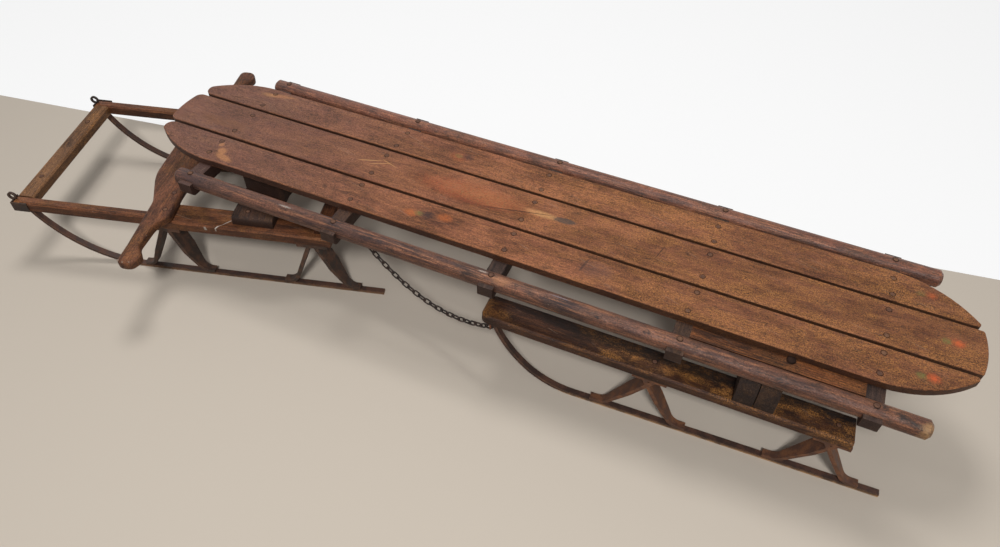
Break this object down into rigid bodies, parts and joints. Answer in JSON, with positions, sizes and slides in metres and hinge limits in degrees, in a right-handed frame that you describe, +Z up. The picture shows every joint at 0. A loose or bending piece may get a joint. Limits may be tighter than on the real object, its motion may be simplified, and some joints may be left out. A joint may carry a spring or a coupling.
{
  "type": "double-runner coasting sled",
  "caption": "Long wooden coasting sled: three-plank deck with round hand rails on a steered front bob and a rear bob with iron runners.",
  "frame": {"origin": "centre of the deck's top face, on the middle plank", "axes": "+X to the front, +Y to the rider's left, +Z up"},
  "size_m": [2.5637, 0.8463, 0.364],
  "materials": {
    "deck_wood": "worn stain",
    "rail_wood": "worn stain",
    "bob_wood": "aged varnish",
    "iron": "rusted"
  },
  "bodies": {
    "deck": {"battens": "rail_wood", "chain_staples": "iron", "check_chain_left": "iron", "check_chain_right": "iron", "front_swivel_block": "bob_wood", "hand_rail_left": "rail_wood", "hand_rail_right": "rail_wood", "king_pin": "iron", "plank_centre": "deck_wood", "plank_left": "deck_wood", "plank_right": "deck_wood", "rear_beam_aft": "bob_wood", "rear_beam_fore": "bob_wood", "rear_bearer_boards": "bob_wood", "rear_knees_left": "iron", "rear_knees_right": "iron", "rear_runner_left": "iron", "rear_runner_right": "iron", "rear_side_board_left": "bob_wood", "rear_side_board_right": "bob_wood"},
    "front_bob": {"corner_irons": "iron", "front_bolster": "bob_wood", "front_cross_bar": "bob_wood", "front_knees_left": "iron", "front_knees_right": "iron", "front_rear_tie": "bob_wood", "front_runner_left": "iron", "front_runner_right": "iron", "front_side_board_left": "bob_wood", "front_side_board_right": "bob_wood", "steering_bar": "bob_wood"}
  },
  "joints": [
    {"name": "steering", "type": "hinge", "parent": "deck", "child": "front_bob", "pos_m": [0.763, 0, -0.13], "axis": [0, 0, 1], "range_deg": [-43.65, 12.35]}
  ]
}
